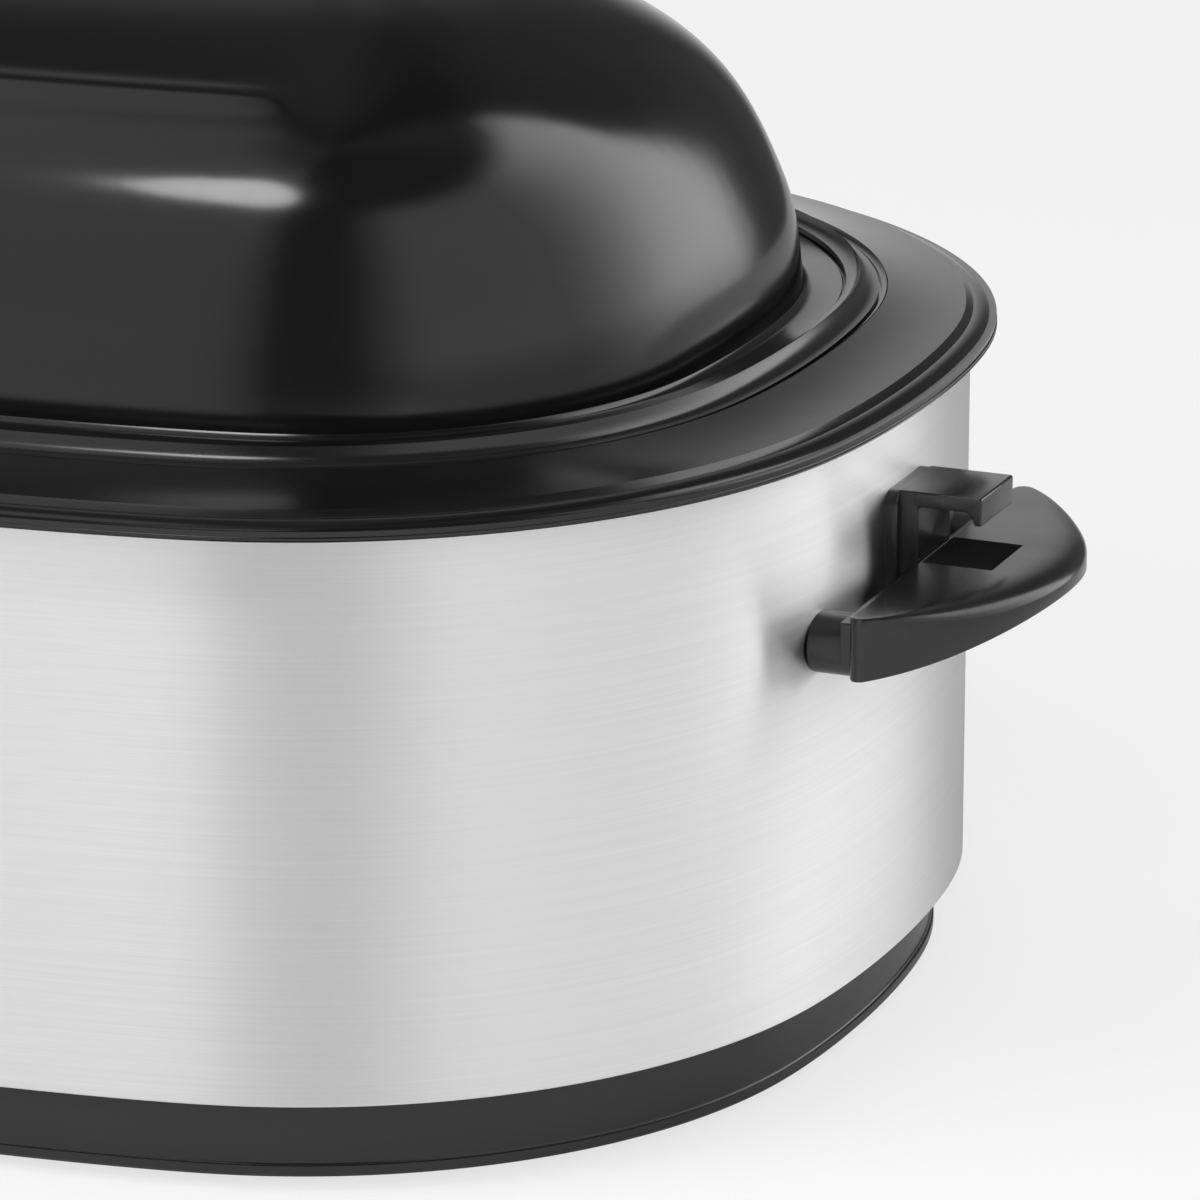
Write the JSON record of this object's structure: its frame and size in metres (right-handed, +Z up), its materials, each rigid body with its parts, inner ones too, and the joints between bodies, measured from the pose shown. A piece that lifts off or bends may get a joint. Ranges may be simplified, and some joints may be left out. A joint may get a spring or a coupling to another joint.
{
  "type": "electric roaster oven",
  "caption": "Oval countertop roaster: brushed steel body on a black base, wide black rim, lift-out pan and rack, domed lift-off lid, end handles with lid hooks.",
  "frame": {"origin": "on the table, under the middle of the oven", "axes": "+X along the oven's length towards one handle, the dial faces -Y, +Z up"},
  "size_m": [0.61, 0.4116, 0.3115],
  "materials": {
    "rubber": "matt black rubber",
    "black_base": "gloss black enamel",
    "zinc": "zinc plated",
    "steel_wrap": "horizontally brushed stainless steel",
    "black_rim": "gloss black enamel",
    "heater": "mill finish steel over mica",
    "glass_fibre": "loose glass fibre blanket",
    "ceramic": "unglazed ceramic",
    "lead_sheath": "braided glass sleeve",
    "copper": "drawn copper",
    "dial_plate": "satin black with pale figures",
    "lens": "clear amber",
    "lamp_glass": "clear glass",
    "handle_black": "gloss black phenolic",
    "knob_black": "gloss black phenolic with a white pointer",
    "brass": "turned brass",
    "pan_enamel": "gloss black enamel with fine pale speckle",
    "rack_chrome": "bright chrome plate",
    "lid_enamel": "gloss black enamel"
  },
  "bodies": {
    "base": {"feet": "rubber", "base_pan": "black_base", "base_screws": "zinc", "base_nuts": "zinc", "heat_shield": "zinc", "centre_stud": "zinc", "centre_nut": "zinc", "outer_wall": "steel_wrap", "heat_well": "black_rim", "heater_band": "heater", "heater_terminals": "zinc", "insulation": "glass_fibre", "terminal_block": "ceramic", "thermostat_leads": "lead_sheath", "thermostat": "ceramic", "thermostat_sensor": "copper", "control_bezel": "dial_plate", "pilot_lens": "lens", "pilot_lamp": "lamp_glass", "cord_gland": "handle_black", "gland_nut": "zinc", "handle_right": "handle_black", "handle_left": "handle_black", "handle_backing_plates": "zinc", "handle_screws": "zinc"},
    "knob": {"control_knob": "knob_black", "control_shaft": "brass"},
    "pan": {"cookwell": "pan_enamel"},
    "rack": {"roasting_rack": "rack_chrome", "rack_lift_loops": "rack_chrome"},
    "lid": {"lid_shell": "lid_enamel", "lid_handle": "handle_black", "lid_screws": "zinc", "lid_washers": "zinc"}
  },
  "joints": [
    {"name": "dial_turn", "type": "hinge", "parent": "base", "child": "knob", "pos_m": [0, -0.1873, 0.098], "axis": [0, 1, 0], "range_deg": [0, 270]},
    {"name": "pan_lift", "type": "slide", "parent": "base", "child": "pan", "axis": [0, 0, 1], "range_m": [0, 0.16]},
    {"name": "rack_lift", "type": "slide", "parent": "pan", "child": "rack", "axis": [0, 0, 1], "range_m": [0, 0.142]},
    {"name": "lid_lift", "type": "slide", "parent": "pan", "child": "lid", "axis": [0, 0, 1], "range_m": [0, 0.15]}
  ]
}
